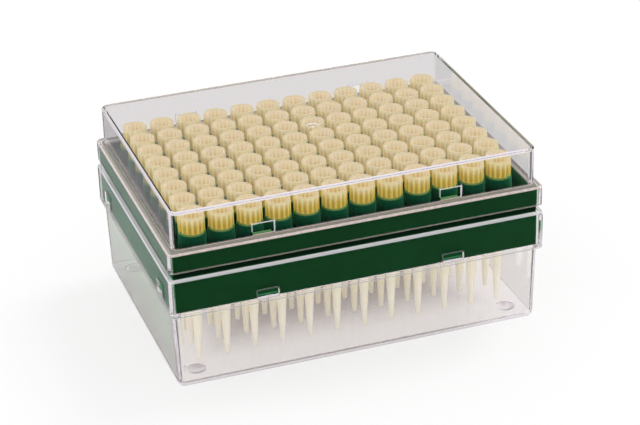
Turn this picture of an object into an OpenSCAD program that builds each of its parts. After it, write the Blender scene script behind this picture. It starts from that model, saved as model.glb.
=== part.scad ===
// Box of pipette tips: a clear base tub, a green rack that stands inside its rim,
// a clear lid that lifts off, and a full grid of ribbed yellow tips.
// Origin: middle of the underside. +X runs along the long side, +Z up, front is -Y.

/* [Grid] */
// Distance between neighbouring tips
pitch = 9; // [7.5:0.1:12]
// Tips along the long side
columns = 12; // [8:1:12]
// Tips along the short side
rows = 8; // [4:1:8]

/* [Tip] */
// Length of a tip, mouth to point
tip_l = 49.6; // [40:0.1:75]
// Tub's floor to the tips' points
point_gap = 2.1; // [0.5:0.1:6]
// Height of the ribbed collar
collar_h = 5.5; // [4:0.1:9]
// Gap between the ribs of neighbouring collars
collar_gap = 1.1; // [0.6:0.1:1.6]
// Ribs round a collar
collar_ribs = 14; // [8:1:16]
// Width of a collar rib; half of it stands out of the collar
collar_rib_w = 0.8; // [0.4:0.1:1]
// How far the band round the mouth lies inside the ribs
mouth_band_in = 0.1; // [0.05:0.05:0.3]
// Height of the band round the mouth
mouth_band_h = 0.9; // [0.6:0.1:1.5]
// How far the ribs run up over that band
rib_run = 0.2; // [0.1:0.1:0.5]
// How far the ribs' feet stay above the seat
rib_foot = 0.2; // [0.1:0.1:1]
// Wall of the tip at the mouth
mouth_wall = 0.65; // [0.5:0.05:0.8]
// Width of the seat under the collar
seat_w = 0.5; // [0.45:0.05:0.8]
// Wall of the tip's body
tip_wall = 0.5; // [0.4:0.05:0.6]
// Height of the body's upper cone, under the collar
body_h = 23; // [12:0.5:26]
// Diameter where the upper cone meets the slim lower one
waist_d = 3.7; // [2.8:0.1:4.2]
// Outside diameter of the point
point_d = 1.5; // [1.2:0.1:1.8]
// Bore at the point
point_bore_d = 0.6; // [0.3:0.1:0.8]

/* [Rack] */
// Outermost tip axis to the rack's end faces
rack_margin_x = 9.1; // [7.6:0.1:14]
// Outermost tip axis to the rack's front and back faces
rack_margin_y = 9.9; // [8:0.1:14]
// Height of the rack's outer wall
rack_h = 19.2; // [16:0.1:26]
// Thickness of the rack's outer wall
rack_wall_t = 1.4; // [1:0.1:2]
// Corner radius of the rack, outside
rack_r = 0.8; // [0.5:0.1:2]
// Corner radius of the rack, inside
rack_inner_r = 0.5; // [0.3:0.1:1.5]
// How much rounder the deck's corners are than the corners they sit in
deck_ease = 0.3; // [0.1:0.1:0.6]
// Deck below the rack's top edge
deck_drop = 2.8; // [2:0.1:4]
// Thickness of the deck
deck_t = 2; // [1.2:0.1:3]
// Gap between the bosses of neighbouring tips
boss_gap = 0.6; // [0.3:0.1:1]
// Height of a boss above the deck
boss_h = 5.2; // [3:0.1:6]
// Chamfer round a boss's top
boss_edge = 0.5; // [0.2:0.1:0.6]
// Clearance between a tip's body and its hole, all round
hole_gap = 0.3; // [0.1:0.05:0.4]
// Thickness of the webs under the deck
web_t = 1.2; // [0.8:0.1:1.6]
// Depth of the webs under the deck
web_h = 6; // [3:0.5:9]

/* [Base] */
// Gap between the rack and the band round it, all round
rack_gap = 0.5; // [0.3:0.05:0.8]
// Thickness of the band's wall
band_wall = 1.3; // [1:0.1:2]
// Corner radius of the band, outside
band_r = 1.5; // [1:0.1:3]
// Corner radius inside the base and inside the lid's skirt
inner_r = 0.6; // [0.3:0.1:1]
// Small chamfer round the band's top edge
band_edge = 0.3; // [0.1:0.1:0.5]
// Gap left between the band and the lid's skirt above it
seam_gap = 2.4; // [0.5:0.1:4]
// How far the ledge reaches in under the rack's wall
ledge_reach = 0.6; // [0.4:0.05:1]
// Thickness of the ledge that the rack stands on
ledge_t = 1.1; // [0.8:0.1:2]
// Thickness of the tub's wall
tub_wall = 1.3; // [1:0.1:1.4]
// Thickness of the tub's floor
floor_t = 1.5; // [1.2:0.1:2.5]
// How far each side of the tub leans in at its foot
tub_lean = 0.7; // [0.3:0.1:1.2]
// Corner radius of the tub at its foot
tub_r = 2.2; // [1.3:0.1:4]
// Chamfer round the tub's foot
foot_edge = 0.6; // [0.3:0.1:1]
// Diameter of the round dishes in the tub's floor
dish_d = 6; // [4:0.1:8]
// Depth of the round dishes
dish_depth = 0.8; // [0.4:0.1:1]
// Tub's foot to the middle of a dish
dish_inset = 7.2; // [6:0.1:12]

/* [Lid] */
// Mouths of the tips to the underside of the lid's top
headroom = 4.7; // [2:0.1:20]
// Height of the lid's skirt, shoulder included
skirt_h = 6.7; // [4:0.1:9]
// Corner radius of the lid's skirt, outside
skirt_r = 1.6; // [1:0.1:3]
// Gap between the lid's skirt and the rack inside it, all round
lid_gap = 0.3; // [0.2:0.05:0.5]
// Wall of the lid
lid_wall = 1.2; // [0.9:0.1:1.6]
// Thickness of the shoulder that rests on the rack
shoulder_t = 1.3; // [1:0.1:2]
// Step from the skirt's face in to the face of the lid's box
lid_step = 1.85; // [1.5:0.05:2.2]
// Corner radius of the lid's box
lid_r = 2.5; // [1.8:0.1:4]
// Chamfer along the lid's edges
lid_edge = 0.5; // [0.2:0.1:0.8]
// Diameter of the round moulding mark in the lid's top
gate_d = 4; // [3:0.1:6]
// Depth of the moulding mark
gate_depth = 0.4; // [0.2:0.1:0.6]
// Diameter of the nub in the middle of the mark
gate_nub_d = 1.2; // [0.8:0.1:2]
// Nub's top below the lid's top
gate_nub_drop = 0.1; // [0.05:0.05:0.15]

/* [Catches] */
// Rack's end faces to the middle of each catch on the long sides
catch_inset_x = 28.6; // [12:0.1:45]
// Rack's front and back faces to the middle of each catch on the short sides
catch_inset_y = 10.4; // [9:0.1:30]
// Width of the windows on the long sides
window_w = 7; // [5:0.1:10]
// Height of the lid's windows
lid_window_h = 4; // [2:0.1:6]
// Height of the band's windows on the long sides
band_window_h = 3.1; // [2:0.1:5]
// Radius of those windows' upper corners
window_r = 1; // [0.5:0.1:1.4]
// Width of the windows on the short sides
end_window_w = 6; // [5:0.1:8]
// Height of the windows on the short sides
end_window_h = 5.3; // [4:0.1:6]
// Ledge to the foot of the windows on the short sides
end_window_lift = 0.6; // [0.3:0.1:2]
// Gap between a catch and the edges of its window
catch_gap = 0.3; // [0.2:0.05:0.6]
// How far a catch stands out from the rack's wall
catch_out = 1; // [0.7:0.1:1.4]
// Height of the ramp on a catch's underside
catch_ramp = 1.2; // [0.6:0.1:1.5]
// Gap between a tongue and the edges of the lid's window, left and right
tongue_inset = 0.6; // [0.3:0.1:1.5]
// Gap between a tongue's face and the lid's wall in front of it
tongue_gap = 0.3; // [0.2:0.05:0.5]
// Thickness of a tongue
tongue_t = 1.1; // [0.8:0.1:1.6]
// Height of a tongue above the rack's top edge
tongue_h = 1.3; // [0.5:0.1:3]

/* [Hidden] */
$fn = 48;
function column_name(c) = str("tips_column_", c < 10 ? "0" : "", c);

// Spare length that carries a cut past the face it opens
spare = 1;

// Diameters of a tip and of its place in the rack, from the pitch inwards
collar_d = pitch - collar_gap;
collar_core_d = collar_d - collar_rib_w;
mouth_band_d = collar_d - 2 * mouth_band_in;
mouth_d = mouth_band_d - 2 * mouth_wall;
body_d = collar_core_d - 2 * seat_w;
hole_d = body_d + 2 * hole_gap;
boss_d = pitch - boss_gap;

// Heights in a tip, from its point
collar_l = tip_l - collar_h;
mouth_band_l = tip_l - mouth_band_h;
waist_l = collar_l - body_h;

// Plan sizes, from the grid outwards
grid_w = (columns - 1) * pitch;
grid_d = (rows - 1) * pitch;
rack_w = grid_w + 2 * rack_margin_x;
rack_d = grid_d + 2 * rack_margin_y;
deck_w = rack_w - 2 * rack_wall_t;
deck_d = rack_d - 2 * rack_wall_t;
band_w = rack_w + 2 * (rack_gap + band_wall);
band_d = rack_d + 2 * (rack_gap + band_wall);
foot_w = rack_w + 2 * (tub_wall - ledge_reach - tub_lean);
foot_d = rack_d + 2 * (tub_wall - ledge_reach - tub_lean);
skirt_w = rack_w + 2 * (lid_gap + lid_wall);
skirt_d = rack_d + 2 * (lid_gap + lid_wall);
lid_w = skirt_w - 2 * lid_step;
lid_d = skirt_d - 2 * lid_step;
catch_x = rack_w / 2 - catch_inset_x;
catch_y = rack_d / 2 - catch_inset_y;

// Heights, each from the one it depends on
mouth_z = floor_t + point_gap + tip_l;
boss_z = mouth_z - collar_h;
deck_z = boss_z - boss_h;
deck_bottom_z = deck_z - deck_t;
rack_z = deck_z + deck_drop;
ledge_z = rack_z - rack_h;
tub_z = ledge_z - ledge_t;
shoulder_z = rack_z + shoulder_t;
skirt_z = shoulder_z - skirt_h;
band_z = skirt_z - seam_gap;
lid_z = mouth_z + headroom + lid_wall;

// Places of the tips
function tip_x(c) = (c - 1) * pitch - grid_w / 2;
function tip_y(r) = (r - 1) * pitch - grid_d / 2;

// ---- Shapes that several pieces share ----

module rounded_plan(w, d, r) {
    square([w - 2 * r, d], center = true);
    square([w, d - 2 * r], center = true);
    for (sx = [-1, 1], sy = [-1, 1])
        translate([sx * (w / 2 - r), sy * (d / 2 - r)]) circle(r);
}

module rounded_block(w, d, h, r) {
    linear_extrude(h) rounded_plan(w, d, r);
}

// A rounded block whose sides and corners lean outwards by lean over its height
module leaning_block(w, d, h, r, lean) {
    leaning_slab(w, d - 2 * r, h, lean);
    rotate(90) leaning_slab(d, w - 2 * r, h, lean);
    for (sx = [-1, 1], sy = [-1, 1])
        translate([sx * (w / 2 - r), sy * (d / 2 - r)])
            cylinder(h = h, r1 = r, r2 = r + lean);
}

module leaning_slab(w, length, h, lean) {
    rotate([90, 0, 0])
        linear_extrude(length, center = true)
            polygon([[-w / 2, 0], [w / 2, 0], [w / 2 + lean, h], [-w / 2 - lean, h]]);
}

// A rounded block with a chamfer round its top
module edged_block(w, d, h, r, edge) {
    rounded_block(w, d, h - edge, r);
    translate([0, 0, h - edge]) leaning_block(w, d, edge, r, -edge);
}

// Puts what is drawn for the front at both catches of the front and of the back
module at_long_catches() {
    for (turn = [0, 180], sx = [-1, 1])
        rotate(turn) translate([sx * catch_x, 0]) children();
}

// Puts what is drawn for the front at both catches of each end
module at_end_catches() {
    for (turn = [90, 270], sx = [-1, 1])
        rotate(turn) translate([sx * catch_y, 0]) children();
}

// ---- Base: tub, ledge and wide band, moulded in one clear piece ----

module base() {
    color("gainsboro", 0.4)
    difference() {
        union() {
            tub_outside();
            translate([0, 0, tub_z])
                edged_block(band_w, band_d, band_z - tub_z, band_r, band_edge);
        }
        tub_hollow();
        translate([0, 0, ledge_z])
            rounded_block(rack_w + 2 * rack_gap, rack_d + 2 * rack_gap,
                          band_z - ledge_z + spare, inner_r);
        at_long_catches() band_window();
        at_end_catches() end_window();
        for (sx = [-1, 1], sy = [-1, 1])
            translate([sx * (foot_w / 2 - dish_inset), sy * (foot_d / 2 - dish_inset)]) dish();
    }
}

module tub_outside() {
    leaning_block(foot_w - 2 * foot_edge, foot_d - 2 * foot_edge, foot_edge,
                  tub_r - foot_edge, foot_edge);
    translate([0, 0, foot_edge])
        leaning_block(foot_w, foot_d, tub_z - foot_edge, tub_r, tub_lean);
}

// The hollow leans as the outside does, up to the top of the ledge
module tub_hollow() {
    translate([0, 0, floor_t])
        leaning_block(foot_w - 2 * tub_wall, foot_d - 2 * tub_wall, ledge_z - floor_t,
                      inner_r, tub_lean);
}

// Window in the front of the band, from the ledge up, with round upper corners
module band_window() {
    translate([0, band_wall - band_d / 2, ledge_z])
        rotate([90, 0, 0]) linear_extrude(band_wall + spare) {
            translate([-window_w / 2, 0]) square([window_w, band_window_h - window_r]);
            translate([window_r - window_w / 2, 0])
                square([window_w - 2 * window_r, band_window_h]);
            for (sx = [-1, 1])
                translate([sx * (window_w / 2 - window_r), band_window_h - window_r])
                    circle(window_r);
        }
}

// Square window in an end of the band
module end_window() {
    translate([-end_window_w / 2, -band_w / 2 - spare, ledge_z + end_window_lift])
        cube([end_window_w, band_wall + spare, end_window_h]);
}

// Shallow round dish in the upper side of the floor
module dish() {
    dish_r = (pow(dish_d / 2, 2) + pow(dish_depth, 2)) / (2 * dish_depth);
    bottom = floor_t - dish_depth;
    intersection() {
        translate([0, 0, bottom + dish_r]) rotate([90, 0, 0]) sphere(dish_r);
        translate([0, 0, bottom - spare]) cylinder(h = dish_depth + 2 * spare, d = dish_d + spare);
    }
}

// ---- Rack: one green moulding, drawn as its outer wall and as the deck inside it ----

// Outer wall with its catches and tongues
module rack_wall() {
    color("darkgreen") {
        translate([0, 0, ledge_z])
            linear_extrude(rack_h)
                difference() {
                    rounded_plan(rack_w, rack_d, rack_r);
                    rounded_plan(deck_w, deck_d, rack_inner_r);
                }
        at_long_catches() {
            tongue();
            catch(rack_d, window_w, band_window_h, 0);
        }
        at_end_catches() catch(rack_w, end_window_w, end_window_h, end_window_lift);
    }
}

// Deck with its bosses and webs, which meets the wall face to face all round
module rack_deck() {
    color("darkgreen")
    difference() {
        union() {
            deck_and_webs();
            for (c = [1 : columns], r = [1 : rows])
                translate([tip_x(c), tip_y(r), deck_z]) boss();
        }
        for (c = [1 : columns], r = [1 : rows])
            translate([tip_x(c), tip_y(r), deck_bottom_z - spare])
                cylinder(h = boss_z - deck_bottom_z + 2 * spare, d = hole_d);
    }
}

// Deck, with a web under it on each side of every row and column
module deck_and_webs() {
    translate([0, 0, deck_bottom_z])
        rounded_block(deck_w, deck_d, deck_t, rack_inner_r + deck_ease);
    translate([0, 0, deck_bottom_z - web_h]) linear_extrude(web_h) {
        for (c = [0 : columns])
            translate([tip_x(c) + pitch / 2, 0]) square([web_t, deck_d], center = true);
        for (r = [0 : rows])
            translate([0, tip_y(r) + pitch / 2]) square([deck_w, web_t], center = true);
    }
}

module boss() {
    cylinder(h = boss_h - boss_edge, d = boss_d);
    translate([0, 0, boss_h - boss_edge])
        cylinder(h = boss_edge, d1 = boss_d, d2 = boss_d - 2 * boss_edge);
}

// Upright tongue inside the lid's front window, tied to the rack's wall below it
module tongue() {
    width = window_w - 2 * tongue_inset;
    face = lid_d / 2 - lid_wall - tongue_gap;
    translate([-width / 2, -face, deck_z]) cube([width, tongue_t, deck_drop + tongue_h]);
    translate([-width / 2, -(rack_d - rack_wall_t) / 2, deck_z])
        cube([width, (rack_d - rack_wall_t) / 2 - face + tongue_t, deck_drop]);
}

// Snap catch on the front wall: it ramps out from below and ends in a flat top
module catch(across, window_width, window_height, lift) {
    foot = ledge_z + lift + catch_gap;
    top = ledge_z + lift + window_height - catch_gap;
    rotate([90, 0, 90])
        linear_extrude(window_width - 2 * catch_gap, center = true)
            polygon([[rack_wall_t / 2 - across / 2, foot], [-across / 2, foot],
                     [-across / 2 - catch_out, foot + catch_ramp],
                     [-across / 2 - catch_out, top], [rack_wall_t / 2 - across / 2, top]]);
}

// ---- Lid: skirt, shoulder and box, moulded in one clear piece ----

module lid() {
    color("gainsboro", 0.3)
    difference() {
        union() {
            translate([0, 0, skirt_z]) edged_block(skirt_w, skirt_d, skirt_h, skirt_r, lid_edge);
            translate([0, 0, rack_z]) edged_block(lid_w, lid_d, lid_z - rack_z, lid_r, lid_edge);
        }
        translate([0, 0, skirt_z - spare])
            rounded_block(rack_w + 2 * lid_gap, rack_d + 2 * lid_gap,
                          skirt_h - shoulder_t + spare, inner_r);
        translate([0, 0, skirt_z])
            rounded_block(lid_w - 2 * lid_wall, lid_d - 2 * lid_wall,
                          lid_z - lid_wall - skirt_z, lid_r - lid_wall);
        at_long_catches() lid_window();
        gate_mark();
    }
}

// Square window in the front of the lid's box, just above the shoulder
module lid_window() {
    translate([-window_w / 2, -lid_d / 2 - spare, shoulder_z])
        cube([window_w, lid_wall + 2 * spare, lid_window_h]);
}

// Ring-shaped dent with a nub in its middle
module gate_mark() {
    translate([0, 0, lid_z - gate_depth])
        difference() {
            cylinder(h = gate_depth + spare, d = gate_d);
            cylinder(h = gate_depth - gate_nub_drop, d = gate_nub_d);
        }
}

// ---- Tips: a column is a line of separate tips, front to back ----

module tips_column(c) {
    color("khaki")
    for (r = [1 : rows]) translate([tip_x(c), tip_y(r), mouth_z - tip_l]) tip();
}

// One tip, standing on its point
module tip() {
    difference() {
        union() {
            rotate_extrude() tip_outline();
            for (i = [1 : collar_ribs])
                rotate(i * 360 / collar_ribs)
                    translate([collar_core_d / 2, 0, collar_l + rib_foot])
                        cylinder(h = collar_h - mouth_band_h + rib_run - rib_foot,
                                 d = collar_rib_w, $fn = 24);
        }
        rotate_extrude() bore_outline();
    }
}

// Half of a tip's outline, solid to the axis
module tip_outline() {
    polygon([[0, 0], [point_d / 2, 0], [waist_d / 2, waist_l], [body_d / 2, collar_l],
             [collar_core_d / 2, collar_l], [collar_core_d / 2, mouth_band_l],
             [mouth_band_d / 2, mouth_band_l], [mouth_band_d / 2, tip_l], [0, tip_l]]);
}

// Half of the bore's outline, run on past both ends at the same slope
module bore_outline() {
    mouth_spread = (mouth_d - body_d + 2 * tip_wall) / 2 / collar_h;
    point_spread = (waist_d - 2 * tip_wall - point_bore_d) / 2 / waist_l;
    polygon([[0, -spare], [point_bore_d / 2 - point_spread * spare, -spare],
             [waist_d / 2 - tip_wall, waist_l], [body_d / 2 - tip_wall, collar_l],
             [mouth_d / 2 + mouth_spread * spare, tip_l + spare], [0, tip_l + spare]]);
}

base();
rack_wall();
rack_deck();
lid();
for (c = [1 : columns])
    tips_column(c);
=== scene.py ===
# %% [markdown]
# # A box of pipette tips
#
# The object is a lidded box from a biology bench. A clear base holds a dark green
# rack, the rack holds 96 yellow tips at a pitch of 9 mm, and a clear lid covers them.
# All of it is moulded plastic, of three kinds: polished and clear, opaque green, and
# thin yellow that lets light through.
#
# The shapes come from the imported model, one object for each piece, and stay where
# they are. This file gives them their finishes, the light and the camera.

import functools
import math

import bmesh
import bpy
from mathutils import Matrix, Vector


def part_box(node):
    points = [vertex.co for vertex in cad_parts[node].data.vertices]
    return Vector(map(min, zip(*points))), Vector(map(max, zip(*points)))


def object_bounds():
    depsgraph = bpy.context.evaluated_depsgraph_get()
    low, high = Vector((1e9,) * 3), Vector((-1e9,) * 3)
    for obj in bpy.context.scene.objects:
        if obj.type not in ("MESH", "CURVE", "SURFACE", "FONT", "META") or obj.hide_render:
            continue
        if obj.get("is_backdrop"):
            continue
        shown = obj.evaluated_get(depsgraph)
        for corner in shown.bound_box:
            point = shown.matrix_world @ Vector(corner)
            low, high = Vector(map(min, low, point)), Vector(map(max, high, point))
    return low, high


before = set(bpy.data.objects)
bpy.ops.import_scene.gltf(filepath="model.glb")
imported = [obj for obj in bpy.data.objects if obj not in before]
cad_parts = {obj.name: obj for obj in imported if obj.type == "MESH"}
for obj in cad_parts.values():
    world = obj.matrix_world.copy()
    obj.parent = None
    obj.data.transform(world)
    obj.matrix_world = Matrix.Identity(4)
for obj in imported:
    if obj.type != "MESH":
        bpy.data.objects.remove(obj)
cad_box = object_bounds()


def in_mm(metres):
    """Lengths in metres as rounded millimetres, for printing."""
    return [round(1000 * x, 2) for x in metres]


print("nodes:", ", ".join(sorted(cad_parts)))
print("box of the packed model, in mm:", [in_mm(corner) for corner in cad_box])

# %% [markdown]
# ## The camera
#
# A long lens stands about 70 cm away, a little to the left of the box and 27 degrees
# above the bench. It could be placed by three loose coordinates, but then nobody
# could read what they mean. Turning it from an azimuth, an elevation and a roll, and
# backing it off along its own line of sight, keeps each number a thing one can see.

# %% Place the camera
AZIMUTH, ELEVATION, ROLL = -0.32820, 0.47856, -0.02713   # radians
DISTANCE = 0.68224
SIDESTEP, RISE = 0.00187, -0.01030                       # along the camera's own right and up
LOOK_AT = Vector((0, 0, 0.040))
LENS, SENSOR = 120.677, 36                               # mm
NEAREST, FARTHEST = 0.05, 50                             # what the camera can see, in metres

turn = (Matrix.Rotation(AZIMUTH, 4, "Z") @ Matrix.Rotation(math.pi / 2 - ELEVATION, 4, "X")
        @ Matrix.Rotation(ROLL, 4, "Z"))
right, up, back = (turn.col[i].to_3d() for i in range(3))
stand = LOOK_AT + back * DISTANCE + right * SIDESTEP + up * RISE
camera_data = bpy.data.cameras.new("camera")
camera_data.lens, camera_data.sensor_width = LENS, SENSOR
camera_data.clip_start, camera_data.clip_end = NEAREST, FARTHEST
camera = bpy.data.objects.new("camera", camera_data)
camera.matrix_world = Matrix.Translation(stand) @ turn
bpy.context.scene.collection.objects.link(camera)
bpy.context.scene.camera = camera
print("camera at, in mm:", in_mm(stand))

# %% [markdown]
# ## Sums on sockets
#
# A finish is a small calculation: noise, times a strength, plus a colour. Drawing it
# with nodes takes a node for each sign. The first class below wraps one socket, so
# that +, -, *, / and ** on it add those nodes, and a finish can be read as a formula.
# The reflected forms, such as `__rsub__`, are what makes `1 - mask` work. The second
# class holds the node tree, and every node in this file comes from its `node`.

# %% A socket that can be calculated with
class Wire:
    """One output socket of a finish, and the sums that can be made with it."""

    def __init__(self, finish, socket):
        self.finish, self.socket = finish, socket

    def calc(self, operation, *others):
        """A Math node's result for this socket and, after it, the others."""
        return self.finish.calc(operation, self, *others)

    def __add__(self, other):
        return self.calc("ADD", other)

    def __sub__(self, other):
        return self.calc("SUBTRACT", other)

    def __rsub__(self, other):
        return self.finish.calc("SUBTRACT", other, self)

    def __mul__(self, other):
        return self.calc("MULTIPLY", other)

    def __truediv__(self, other):
        return self.calc("DIVIDE", other)

    def __rtruediv__(self, other):
        return self.finish.calc("DIVIDE", other, self)

    def __pow__(self, other):
        return self.calc("POWER", other)

    def __rpow__(self, other):
        return self.finish.calc("POWER", other, self)

    def __abs__(self):
        return self.calc("ABSOLUTE")

    __radd__, __rmul__ = __add__, __mul__

    def at_most(self, other):
        return self.calc("MINIMUM", other)

    def at_least(self, other):
        return self.calc("MAXIMUM", other)

    def ramp(self, low, high, from_value=0.0, to_value=1.0):
        """A smooth step from one value to another while the socket goes from low to high."""
        return self.finish.node("MapRange", {"interpolation_type": "SMOOTHSTEP"},
                                {0: self, 1: low, 2: high, 3: from_value, 4: to_value})

    def between(self, start, full, fading, gone):
        """0 up to start, 1 from full to fading, and 0 again from gone on."""
        return self.ramp(start, full) * self.ramp(gone, fading)


# %% A node tree that is built with it
class Finish:
    """The node tree of a new material or sky, and the one method that fills it."""

    def __init__(self, name, home=bpy.data.materials, output="OutputMaterial"):
        self.block, self.output = home.new(name), output
        self.block.use_nodes = True
        self.tree = self.block.node_tree
        self.tree.nodes.clear()

    def node(self, kind, settings=None, sockets=None, out=0):
        """Adds one node: its settings first, then its sockets. Returns one output."""
        made = self.tree.nodes.new("ShaderNode" + kind)
        for key, value in (settings or {}).items():
            setattr(made, key, value)
        for key, value in (sockets or {}).items():
            if isinstance(value, Wire):
                self.tree.links.new(value.socket, made.inputs[key])
            elif isinstance(value, tuple) and made.inputs[key].type == "RGBA":
                made.inputs[key].default_value = (*value, 1)
            else:
                made.inputs[key].default_value = value
        return Wire(self, made.outputs[out]) if made.outputs else None

    def calc(self, operation, *terms):
        """One Math node on these terms, each a Wire or a number."""
        return self.node("Math", {"operation": operation}, dict(enumerate(terms)))

    @functools.cached_property
    def spot(self):
        """Where a point lies on the piece, in metres."""
        return self.node("TexCoord", out="Object")

    def place(self):
        """The same as three numbers, x, y and z."""
        split = self.node("SeparateXYZ", None, {0: self.spot}).socket.node
        return [Wire(self, socket) for socket in split.outputs]

    def noise(self, size, detail=2.0):
        """Cloudy noise from 0 to 1 whose blobs are about size metres wide."""
        return self.node("TexNoise", None,
                         {"Vector": self.spot, "Scale": 1 / size, "Detail": detail})

    def blend(self, share, first, second):
        """Colours mixed: first where share is 0, second where it is 1."""
        return self.node("Mix", {"data_type": "RGBA"}, {0: share, 6: first, 7: second}, out=2)

    def mix(self, share, first, second):
        """Shaders mixed in the same way."""
        return self.node("MixShader", None, {0: share, 1: first, 2: second})

    def matt(self, colour):
        return self.node("BsdfDiffuse", None, {"Color": colour})

    def bump(self, height, depth):
        """A normal bent as if the surface rose by height times depth, in metres."""
        return self.node("Bump", None, {"Strength": 1.0, "Distance": depth, "Height": height})

    def ray(self, *kinds):
        """1 where the ray that looks is of one of these kinds, such as "Camera", and else 0."""
        found = [self.node("LightPath", out=f"Is {kind} Ray") for kind in kinds]
        return functools.reduce(Wire.at_least, found)

    def done(self, surface):
        self.node(self.output, None, {0: surface})
        print(f"{self.block.name}: {len(self.tree.nodes)} nodes")
        return self.block


def finish_nodes(names, material):
    """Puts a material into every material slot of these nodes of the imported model."""
    for name in names:
        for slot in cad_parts[name].material_slots:
            slot.material = material


# %% [markdown]
# ## Clear plastic: the base and the lid
#
# Both are thin mouldings of clear polystyrene, polished on both faces. A mesh with
# one skin could fake it with a low alpha, but the lines that make such a box look
# real come from light that bends and is caught inside the walls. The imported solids
# have real walls, so a shader that refracts finds both faces of each one. The lid has
# a greyer tint than the base, and the polish of both is broken by faint waves, which
# make the edges behind them waver, and by small duller specks.
#
# Real clear plastic lights what it covers. A path tracer would need sharp caustics
# for that, which stay noisy, so rays from the lamps and rays between matt surfaces
# pass straight through, a little dimmed. A ray that has been mirrored twice is caught
# in a wall and would run along it for good. On a real box it picks up light from
# everywhere on its way, and that is what makes the edges pale, so such a ray ends on
# a milky face instead.

# %% Numbers of the clear finish
LID_TINT = (0.850, 0.832, 0.836)
BASE_TINT = (0.960, 0.940, 0.935)
THROUGH_TINT = (0.97, 0.96, 0.965)     # what a ray keeps that passes straight through
EDGE_MILK = (0.86, 0.82, 0.87)
CAUGHT_ABOVE = 1.5                     # mirrored once is free, mirrored twice is caught
CLEAR_IOR = 1.56
FACE_ON_GLOSS = 0.01                   # how much mirror image is left where a face is met squarely
WAVE_SIZE, WAVE_DEPTH = 0.022, 0.00012
SPECK_SIZE, SPECK_RANGE = 0.0016, (0.45, 0.75)    # noise at which a speck sets in and is full
POLISHED, SPECKED = 0.012, 0.05        # roughness
print(f"waves {1000 * WAVE_SIZE:.0f} mm long and {1e6 * WAVE_DEPTH:.0f} micrometres deep")


# %% The clear finish
def clear_finish(name, tint, hazes_and_painted_light):
    """Clear plastic; each haze, mostly painted light and shade, is a matt colour and the function
    for its share.
    """
    f = Finish(name)
    specks = f.noise(SPECK_SIZE).ramp(*SPECK_RANGE, POLISHED, SPECKED)
    shown = f.node("BsdfPrincipled", None, {
        "Base Color": tint, "Roughness": specks, "IOR": CLEAR_IOR, "Transmission Weight": 1.0,
        "Specular Tint": (FACE_ON_GLOSS,) * 3,
        "Normal": f.bump(f.noise(WAVE_SIZE, detail=1.0), WAVE_DEPTH)})
    x, y, z = f.place()
    for colour, share in hazes_and_painted_light:
        shown = f.mix(share(f, x, y, z), shown, f.matt(colour))
    caught = f.node("LightPath", out="Glossy Depth").calc("GREATER_THAN", CAUGHT_ABOVE)
    shown = f.mix(caught, shown, f.matt(EDGE_MILK))
    straight = f.node("BsdfTransparent", None, {"Color": THROUGH_TINT})
    return f.done(f.mix(f.ray("Shadow", "Diffuse"), shown, straight))


# %% [markdown]
# ## Hazes: painted light where the clear pieces aren't clear
#
# A real clear box is pale wherever light meets a tight corner or edge, is bent and caught
# there, and leaves in all directions. On the lid those places are the shoulder, the foot
# of the skirt, the line where the roof meets the walls and the sides of the windows. On
# the base they are the foot, the ledge under the rack, the lip of the band, the edges of
# its windows and the four dishes in the floor. A fillet on each edge and a rough patch on
# each face could give this by refraction alone, but with many more faces, and with grain
# that never settles. That pale light is painted instead: a share of a matt colour is mixed
# over the clear shader. Thin white painted highlights run beside the lid's windows and
# where its roof meets the walls, and a faint share lies over the base's walls too. Its
# place is worked out from the height of a point and its distance from the walls, so it
# stays put from every side.
#
# Some of the light and shade under the rack is also too faint for a path tracer to find
# within a few bounces, so three weak hazes paint it on the base: a painted grey shade under
# the tips, where 96 stems take the light, painted shade on one flank of each dish, and a
# painted green light in the left end, which mirrors the rack. A clear wall mirrors more the
# more slanting it is met, so Layer Weight keeps the green off where the wall is met squarely.

# %% Heights of the clear pieces
SHOULDER_TOP, LEDGE_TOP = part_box("rack_wall")[1].z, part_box("rack_wall")[0].z
LEDGE_UNDER = LEDGE_TOP - 0.0011
LID_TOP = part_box("lid")[1].z
SEAM_LOW, SEAM_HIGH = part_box("base")[1].z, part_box("lid")[0].z   # the gap between band and skirt
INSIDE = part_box("rack_deck")[1]         # the deck's corner, which touches the walls all round
FOOT_TOP = 0.0014
print("ledge, band, skirt, shoulder and lid at, in mm:",
      in_mm((LEDGE_TOP, SEAM_LOW, SEAM_HIGH, SHOULDER_TOP, LID_TOP)))

# Heights at which a haze starts, is full, begins to fade, and has gone
FOOT = (0.00005, 0.0002, FOOT_TOP - 0.0002, FOOT_TOP)
DISH = (0.0005, 0.0007, 0.00145, 0.0015)
FLOOR = (0.00005, 0.0002, 0.0016, 0.0017)
LEDGE = [LEDGE_UNDER + rise for rise in (-0.0002, -0.0001, 0.0002, 0.0003)]
SEAM = (SEAM_LOW, SEAM_LOW + 0.0002, SEAM_HIGH - 0.0002, SEAM_HIGH)
SHOULDER = [SHOULDER_TOP + rise for rise in (-0.0010, -0.0008, 0.0001, 0.0002)]
CROWN = [LID_TOP - drop for drop in (0.00115, 0.00110, 0.00085, 0.00080)]
END = (FOOT_TOP, FOOT_TOP + 0.0010, LEDGE_UNDER - 0.0005, LEDGE_UNDER)

# %% Windows in the band and in the lid
CATCH_X, CATCH_Y = 0.0300, 0.0310             # middles of the windows, from the box's middle
WINDOW_HALF, END_WINDOW_HALF = 0.0035, 0.0030
WINDOW_TOP = LEDGE_TOP + 0.0031
END_WINDOW_LOW, END_WINDOW_TOP = LEDGE_TOP + 0.0006, LEDGE_TOP + 0.0059
# the painted highlight lines beside the lid's windows run between these heights
LID_LINE_LOW, LID_LINE_TOP = SHOULDER_TOP + 0.0013, SHOULDER_TOP + 0.0045    # beside the lid's
LINE_HALF, LINE_FLANK = 0.00010, 0.00005      # half a line's width, and how soft its edge is
print(f"middles of the windows: {1000 * CATCH_X:.0f} mm left and right in front and back, "
      f"{1000 * CATCH_Y:.0f} mm to the front and back in the ends")


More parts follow.
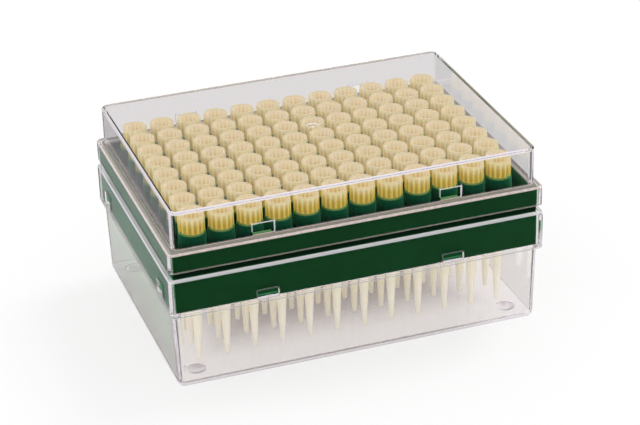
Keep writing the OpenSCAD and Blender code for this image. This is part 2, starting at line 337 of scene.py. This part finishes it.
def beside(across, middle, half):
    """How far a point lies outside the nearer one of a pair of windows, along the wall."""
    return abs(abs(across) - middle) - half


def thin_line(off, z, low):
    """1 on a thin line where off is 0, from a height up, and else 0."""
    line = abs(off).ramp(LINE_HALF + LINE_FLANK, LINE_HALF)
    return line * z.ramp(low + LINE_FLANK, low + LINE_FLANK + LINE_HALF)


# %% Hazes of the lid: painted light
# colours of painted light: warm on the shoulder, white for the painted highlight lines
WARM_PAINTED_LIGHT, COOL_WHITE = (0.83, 0.70, 0.67), (0.95, 0.93, 0.95)
SHOULDER_RIM, SHOULDER_FACE = 0.70, 0.26      # share on the shoulder's rim, and on its top
FACE_TURN = SHOULDER_TOP - 0.0002, SHOULDER_TOP - 0.0001    # from the rim's to the top's
SPECKLE_SIZE, SPECKLE_RANGE, SPECKLE = 0.0009, (0.35, 0.65), (0.88, 1.10)
SKIRT_FOOT, SKIRT_TURN = 0.20, (SEAM_HIGH + 0.0002, SEAM_HIGH + 0.0001)
WINDOW_SIDES, CROWN_LINE = 0.45, 0.65


def shoulder_painted_light(f, x, y, z):
    """Painted warm light, speckled, on the shoulder, with a weak line of it along the skirt's foot.
    """
    share = z.ramp(*FACE_TURN, SHOULDER_RIM, SHOULDER_FACE)
    speckle = f.noise(SPECKLE_SIZE).ramp(*SPECKLE_RANGE, *SPECKLE)
    shoulder = z.between(*SHOULDER) * share * speckle
    return shoulder.at_least(z.ramp(*SKIRT_TURN) * SKIRT_FOOT)


def lid_painted_highlights(f, x, y, z):
    """Painted white highlights, on the sides of the windows and where the roof meets the walls."""
    sides = thin_line(beside(x, CATCH_X, WINDOW_HALF), z, LID_LINE_LOW)
    sides = sides * z.ramp(LID_LINE_TOP + LINE_HALF, LID_LINE_TOP)
    return (sides * WINDOW_SIDES).at_least(z.between(*CROWN) * CROWN_LINE)


finish_nodes(["lid"], clear_finish("clear_plastic_lid", LID_TINT, [
    (WARM_PAINTED_LIGHT, shoulder_painted_light),
    (COOL_WHITE, lid_painted_highlights)]))

# %% Pale places of the base: painted light, and a faint haze on the walls
EDGE_WHITE = (0.88, 0.84, 0.89)
BASE_SHARES = {"foot": 0.95, "ledge": 0.55, "wall": 0.08, "lip": 0.60, "windows": 0.10,
               "dishes": 0.40}
LIP_TURN = SEAM_LOW - 0.0006, SEAM_LOW - 0.0005      # the lip's haze sets in between these heights
FOOT_TURN, DISH_TURN = (-0.0002, 0.0), (-0.001, -0.002)    # distances past the inner faces


def past_inside(x, y):
    """How far a point lies outside the inner faces of the walls, and below 0 inside them."""
    return (abs(x) - INSIDE.x).at_least(abs(y) - INSIDE.y)


def in_dish(x, y, z):
    """1 in the four dishes of the floor, and else 0."""
    return z.between(*DISH) * past_inside(x, y).ramp(*DISH_TURN)


def edge_light_and_haze(f, x, y, z):
    """Milky painted light on the foot, the ledge, the lip, the windows' edges and the dishes, and a
    faint haze on the walls.
    """
    front = beside(x, CATCH_X, WINDOW_HALF).at_least(z - WINDOW_TOP)
    end = beside(y, CATCH_Y, END_WINDOW_HALF).at_least(z - END_WINDOW_TOP)
    places = {
        "foot": z.between(*FOOT) * past_inside(x, y).ramp(*FOOT_TURN),
        "ledge": z.between(*LEDGE),
        "wall": z.ramp(LEDGE_UNDER, FOOT_TOP) * z.ramp(*FOOT[:2]),
        "lip": z.ramp(*LIP_TURN),
        "windows": thin_line(front, z, LEDGE_TOP).at_least(thin_line(end, z, END_WINDOW_LOW)),
        "dishes": in_dish(x, y, z)}
    shares = [place * BASE_SHARES[name] for name, place in places.items()]
    return functools.reduce(Wire.at_least, shares)


print("share of haze on the base:", BASE_SHARES)

# %% Faint light and shade in the base
DISH_DARK, RACK_LIGHT, FLOOR_GREY = (0.30, 0.27, 0.28), (0.72, 1.0, 0.75), (0.40, 0.335, 0.335)
DISH_SHADE, FLOOR_SHADE = 0.60, 0.60
TO_BACK = 0.08, 0.22                          # how far a face turns to the back, as its normal's y
END_LIGHT = 0.08, 0.26                        # share at the foot, and under the ledge
SLANT = 0.25, 0.60                            # Layer Weight's Facing where it sets in and is full
END_FACE = -INSIDE.x, -INSIDE.x - 0.0004
END_CORNER = 0.038, 0.035                     # from the end's middle: no light, and full light
SHADE_REACH = -0.006, -0.032                  # past the inner faces: no shade, and full shade
print(f"weak hazes: dishes {DISH_SHADE}, floor {FLOOR_SHADE}, left end up to {END_LIGHT[1]}")


def dish_shade(f, x, y, z):
    """Painted shade, on the part of each dish that faces the back."""
    turned = f.node("SeparateXYZ", None, {0: f.node("NewGeometry", out="Normal")}, out=1)
    return in_dish(x, y, z) * turned.ramp(*TO_BACK) * DISH_SHADE


def end_light(f, x, y, z):
    """Painted green light from the rack, on the left end between its corners."""
    end = x.ramp(*END_FACE) * abs(y).ramp(*END_CORNER) * z.between(*END)
    slant = f.node("LayerWeight", None, {"Blend": 0.5}, out="Facing").ramp(*SLANT)
    return end * slant * z.ramp(FOOT_TOP, LEDGE_UNDER, *END_LIGHT)


def floor_shade(f, x, y, z):
    """Painted grey shade, on the floor, from the tips nearest to the walls to the middle of the
    grid.
    """
    return z.between(*FLOOR) * past_inside(x, y).ramp(*SHADE_REACH, 0.0, FLOOR_SHADE)


finish_nodes(["base"], clear_finish("clear_plastic_base", BASE_TINT, [
    (EDGE_WHITE, edge_light_and_haze),
    (DISH_DARK, dish_shade),
    (RACK_LIGHT, end_light),
    (FLOOR_GREY, floor_shade)]))

# %% [markdown]
# ## Green plastic: the rack
#
# The rack is polypropylene, coloured right through, off a tool with a satin face. A
# plain colour would look like paint on a wall, and an ordinary gloss would lay a pale
# veil over so dark a green, because the room around it is pale. The finish has what a
# satin moulding has: a slow drift of shade where the melt flowed, a grain that is
# felt more than seen, and a green sheen on faces that are met at a slant.
#
# The tops of the tongues and the rims of the bosses stand in the light, so they are
# painted paler, as highlights. The bosses are also painted a lighter green than the
# wall, and the deck under them darker: painted light and shade on one plastic. The
# wells between the bosses lie in the dark, and so does the wall where it shows through
# the gap between band and skirt. Those two get painted shade, a share of a matt
# near-black shader, because a darker colour alone would keep its sheen.

# %% Colours of the rack
NEAR_BLACK = (0.002, 0.004, 0.003)
WALL_GREENS = (0.0008, 0.022, 0.0020), (0.0014, 0.034, 0.0040)    # the melt's drift goes between
# painted light and shade on one plastic: the bosses' greens lighter than the wall's, the deck's
# darker
BOSS_GREENS_LIT = (0.0035, 0.075, 0.034), (0.0055, 0.10, 0.045)
DECK_GREEN_SHADED = (0.001, 0.015, 0.006)
# painted highlights on the tops of the tongues and the rims of the bosses
TONGUE_TOP_HIGHLIGHT, BOSS_RIM_HIGHLIGHT = (0.08, 0.17, 0.05), (0.20, 0.34, 0.11)
# painted shadow in the seam and painted shade in the wells, as shares of the near-black shader
SEAM_DARK, WELL_DARK = 0.85, 0.50             # share of the near-black shader
SATIN, SATIN_RANGE = (0.32, 0.42), (0.2, 0.8)     # roughness, and the melt's drift that it follows
SHEEN = {"Sheen Weight": 0.6, "Sheen Roughness": 0.5, "Sheen Tint": (0.20, 1.0, 0.50)}
FACE_GLOSS = 0.02                             # what is left of the mirror image
FLOW_SIZE, GRAIN_SIZE, GRAIN_DEPTH = 0.03, 0.0005, 0.00001
SOLID_IOR = 1.49                              # of polypropylene
print(f"melt's drift {1000 * FLOW_SIZE:.0f} mm wide, grain {1000 * GRAIN_SIZE:.1f} mm")

# %% Heights in the rack
SEAT_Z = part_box("rack_deck")[1].z             # the tops of the bosses, where the collars sit
BOSS_EDGE = 0.0005                            # the chamfer round a boss
print(f"bosses' tops at {1000 * SEAT_Z:.1f} mm, with a chamfer of {1000 * BOSS_EDGE:.1f} mm")

# Heights between which one look turns into the next
TONGUE_TURN = SHOULDER_TOP - 0.0003, SHOULDER_TOP - 0.0001
BOSS_TURN = SEAT_Z - 0.0050, SEAT_Z - 0.0010
RIM_TURN = SEAT_Z - 0.8 * BOSS_EDGE, SEAT_Z - 0.5 * BOSS_EDGE
WELL_TURN = SEAT_Z - 0.0035, SEAT_Z - 0.0060


# %% The green finish
def green_finish(name, tone, painted_shade):
    """Green plastic; tone gives the colour of this piece, and the last argument the share of
    painted shade where it lies in the dark.
    """
    f = Finish(name)
    flow, z = f.noise(FLOW_SIZE), f.place()[2]
    lit = f.node("BsdfPrincipled", None, {
        "Base Color": tone(f, flow, z), "Roughness": flow.ramp(*SATIN_RANGE, *SATIN),
        "IOR": SOLID_IOR, "Specular IOR Level": FACE_GLOSS,
        "Normal": f.bump(f.noise(GRAIN_SIZE), GRAIN_DEPTH), **SHEEN})
    return f.done(f.mix(painted_shade(z), lit, f.matt(NEAR_BLACK)))


# %% The rack's wall
# painted highlight on the tops of the tongues
def wall_tone(f, flow, z):
    return f.blend(z.ramp(*TONGUE_TURN), f.blend(flow, *WALL_GREENS), TONGUE_TOP_HIGHLIGHT)


# painted shadow: the wall goes nearly black in the seam between band and skirt
def seam_painted_shadow(z):
    return z.between(*SEAM) * SEAM_DARK


finish_nodes(["rack_wall"], green_finish("green_plastic_wall", wall_tone, seam_painted_shadow))


# %% The rack's deck
# painted light on the bosses and their rims, painted shade on the deck below them
def deck_tone(f, flow, z):
    boss = f.blend(z.ramp(*BOSS_TURN), DECK_GREEN_SHADED, f.blend(flow, *BOSS_GREENS_LIT))
    return f.blend(z.ramp(*RIM_TURN), boss, BOSS_RIM_HIGHLIGHT)


# painted shade: the wells between the bosses go towards black
def well_painted_shade(z):
    return z.ramp(*WELL_TURN) * WELL_DARK


finish_nodes(["rack_deck"], green_finish("green_plastic_deck", deck_tone, well_painted_shade))

# %% [markdown]
# ## Yellow plastic: the tips
#
# A tip is a polypropylene cone with a wall of half a millimetre, dyed yellow. Light
# goes in at one face and comes out all over, which is why the mouths glow. It could
# be mixed from a diffuse and a translucent shader. Subsurface scattering is chosen,
# because it follows the real thickness. Light that goes from tip to tip takes more
# bounces than a render follows, so a faint glow of the same colours stands for it.
#
# The collars have ribs outside, and through the thin wall they show inside the mouth
# as rays. The grooves between the ribs are painted darker, as shade, and the rays in
# the mouth follow the same pattern: every tip stands on the same grid, so the place
# within one square of the grid gives the angle round the tip's own axis, and the
# distance from it tells the bore from the wall. Colours also change with height, from
# a lip painted darker, as shade, over a collar that is deepest at its foot to a stem
# that fades downwards.

# %% Where a point is round its own tip
first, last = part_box("tips_column_01"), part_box("tips_column_12")
GAPS = 11                      # between the first column of tips and the last
PITCH = (last[0].x - first[0].x) / GAPS
POINT_Z, MOUTH_Z = first[0].z, first[1].z
RIBS = 14
RIB_FLANK = -0.5, 0.8          # a wave round the collar, from a groove's edge to a rib's
BORE_R, BORE_FLANK = 0.0032 / PITCH, 0.00015 / PITCH    # the mouth's radius and its soft edge
print(f"pitch {1000 * PITCH:.2f} mm, points at {1000 * POINT_Z:.1f}, collars from "
      f"{1000 * SEAT_Z:.1f} to {1000 * MOUTH_Z:.1f} mm")


def off_axis(place, low, high, shift):
    """How far a point lies from the axis of its own tip, in pitches, along one side."""
    steps = (place - (low + high) / 2) / PITCH + shift
    return steps.calc("FRACT") - 0.5


# %% Colours of the tips
STEM_LOW, STEM_HIGH = (0.955, 0.90, 0.80), (0.955, 0.865, 0.61)
COLLAR_HIGH, COLLAR_LOW = (0.90, 0.84, 0.54), (0.82, 0.66, 0.12)
# painted shade: the lip and the grooves between the ribs are darker than the collar
LIP_SHADE, BORE, GROOVE_SHADE = (0.66, 0.55, 0.32), (0.90, 0.83, 0.64), (0.50, 0.33, 0.04)
STEM_GLOW = (1.0, 0.93, 0.80)
COLLAR_GLOW_HIGH, COLLAR_GLOW_LOW = (1.0, 0.90, 0.60), (1.0, 0.82, 0.26)
GLOW_STRENGTH = 0.13
GROOVE_AT_MOUTH, GROOVE_GAIN = 0.10, 0.75     # share of the groove's colour, and more low down
GROOVE_LOST = 0.3                             # as much less of it in the bore
TIP_ROUGH, TIP_RANGE, TIP_BLOB = (0.25, 0.35), (0.2, 0.8), 0.006
SCATTER = {"Subsurface Weight": 1.0, "Subsurface Radius": (1.0, 0.9, 0.6),
           "Subsurface Scale": 0.0005}

# Heights between which one colour turns into the next
DEEP_TURN = MOUTH_Z, SEAT_Z + 0.0015
LIP_EDGE = MOUTH_Z - 0.0002, MOUTH_Z - 0.0001
SEAT_TURN, GROOVE_TURN = (SEAT_Z - 0.0002, SEAT_Z), (SEAT_Z - 0.0002, SEAT_Z + 0.0003)
GLOW_TURN = SEAT_Z - 0.003, SEAT_Z
print(f"glow of {GLOW_STRENGTH} on the tips, where the bench is shown at 1")


# %% The yellow finish
def yellow_finish():
    f = Finish("tip_plastic")
    x, y, z = f.place()
    across = off_axis(x, first[0].x, first[1].x, 0.5)
    along = off_axis(y, first[0].y, first[1].y, 0.0)
    rib = (along.calc("ARCTAN2", across) * RIBS).calc("COSINE").ramp(*RIB_FLANK)
    down = z.ramp(*DEEP_TURN)             # 0 at the mouth, 1 low on the collar
    collar = z.ramp(*SEAT_TURN)           # 1 from the collar's seat up

    stem = f.blend(z.ramp(POINT_Z, SEAT_Z), STEM_LOW, STEM_HIGH)
    body = f.blend(collar, stem, f.blend(down, COLLAR_HIGH, COLLAR_LOW))
    radius = (across ** 2 + along ** 2) ** 0.5
    bore = radius.ramp(BORE_R + BORE_FLANK, BORE_R) * collar
    # painted shade in the grooves between the ribs, more of it low on the collar and less in the
    # bore
    groove_shade = (1 - rib) * (GROOVE_AT_MOUTH + GROOVE_GAIN * down) * z.ramp(*GROOVE_TURN)
    ribbed = f.blend(groove_shade * (1 - GROOVE_LOST * bore), f.blend(bore, body, BORE), GROOVE_SHADE)
    # painted shade on the lip, the top of the mouth
    colour = f.blend(z.ramp(*LIP_EDGE), ribbed, LIP_SHADE)
    glow = f.blend(z.ramp(*GLOW_TURN), STEM_GLOW,
                   f.blend(down, COLLAR_GLOW_HIGH, COLLAR_GLOW_LOW))
    return f.done(f.node("BsdfPrincipled", {"subsurface_method": "RANDOM_WALK"}, {
        "Base Color": colour, "Roughness": f.noise(TIP_BLOB).ramp(*TIP_RANGE, *TIP_ROUGH),
        "IOR": SOLID_IOR, "Emission Color": glow, "Emission Strength": GLOW_STRENGTH,
        **SCATTER}))


finish_nodes([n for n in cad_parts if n.startswith("tips")], yellow_finish())

# %% [markdown]
# ## The bench and the light
#
# The box stands on a plain white bench, far wider than the view. One broad lamp
# stands high on the right and a little behind, so each boss is lit on its right and
# dark on its left, and a pale sky fills the rest. A bench lit up to white would take
# lamps that bleach the box, so to the eye and through clear plastic the bench and the
# sky are set to nearly white, while as lamps they stay at a plain level.
#
# A mirror image of a white room would lay a veil over the lid. A real room has darker
# things in it, so what a gloss shows is a grey bench and a slightly dimmed sky.

# %% The bench
BENCH_REACH = 3.0
BENCH_SIDES = 96
BENCH_DROP = 0.0001            # a hair below the box, so that the two faces don't fight
BENCH_GLOW = 0.7               # share of the bench that shows white whatever falls on it
BENCH_WHITE, BENCH_IN_GLOSS = (0.94,) * 3, (0.20,) * 3
BENCH_ROUGH, BENCH_GLOSS = 0.6, 0.2
bench_z = cad_box[0].z - BENCH_DROP

mesh = bmesh.new()
bmesh.ops.create_circle(mesh, cap_ends=True, segments=BENCH_SIDES, radius=BENCH_REACH)
bmesh.ops.translate(mesh, verts=mesh.verts, vec=(0, 0, bench_z))
bench_mesh = bpy.data.meshes.new("bench")
mesh.to_mesh(bench_mesh)
mesh.free()
bench = bpy.data.objects.new("bench", bench_mesh)
bpy.context.scene.collection.objects.link(bench)
bench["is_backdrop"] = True
print(f"bench {2 * BENCH_REACH:.0f} m across, its top at {1000 * bench_z:.1f} mm")


# %% The bench's white
def mirrored(f):
    """1 for rays that have come off a gloss, also if plastic bent them later, and else 0."""
    return f.node("LightPath", out="Glossy Depth").at_most(1) * f.ray("Glossy")


def bench_finish():
    f = Finish("bench_white")
    matt = f.node("BsdfPrincipled", None, {
        "Base Color": f.blend(mirrored(f), BENCH_WHITE, BENCH_IN_GLOSS),
        "Roughness": BENCH_ROUGH, "Specular IOR Level": BENCH_GLOSS})
    white = f.node("Emission", None, {"Color": (1, 1, 1), "Strength": 1.0})
    shown = f.ray("Camera", "Glossy", "Transmission") - mirrored(f)
    return f.done(f.mix(shown * BENCH_GLOW, matt, white))


bench_mesh.materials.append(bench_finish())

# %% The sky
SKY_LIGHT = 0.9                # what the sky gives as a lamp
SKY_SHOWN = 1.0                # what the eye sees of it
SKY_IN_GLOSS = 0.8


def sky_finish():
    f = Finish("sky", bpy.data.worlds, "OutputWorld")
    shown = SKY_LIGHT + f.ray("Camera", "Glossy", "Transmission") * (SKY_SHOWN - SKY_LIGHT)
    return f.done(f.node("Background", None, {
        "Color": (1, 1, 1), "Strength": shown - mirrored(f) * (SKY_SHOWN - SKY_IN_GLOSS)}))


bpy.context.scene.world = sky_finish()

# %% The lamp
LAMP_STRENGTH = 0.9
LAMP_WIDTH = 22                # degrees of sky that the lamp fills, for soft shadows
LAMP_FROM = Vector((0.75, 0.35, 0.95))
lamp_data = bpy.data.lights.new("window", "SUN")
lamp_data.energy, lamp_data.angle = LAMP_STRENGTH, math.radians(LAMP_WIDTH)
lamp = bpy.data.objects.new("window", lamp_data)
lamp.rotation_euler = LAMP_FROM.to_track_quat("Z", "Y").to_euler()
bpy.context.scene.collection.objects.link(lamp)
lamp_height = math.degrees(math.asin(LAMP_FROM.normalized().z))
print(f"lamp {lamp_height:.0f} degrees above the bench")

bpy.context.scene.view_settings.view_transform = "Standard"

# %% [markdown]
# ## The size shown
#
# The size of what is shown is printed, to set beside the size of the imported model
# printed at the start, so that anyone can see that the looks have not changed the dimensions.

# %% Measure and finish
seen_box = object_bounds()
print("box shown, in mm:", [in_mm(corner) for corner in seen_box])
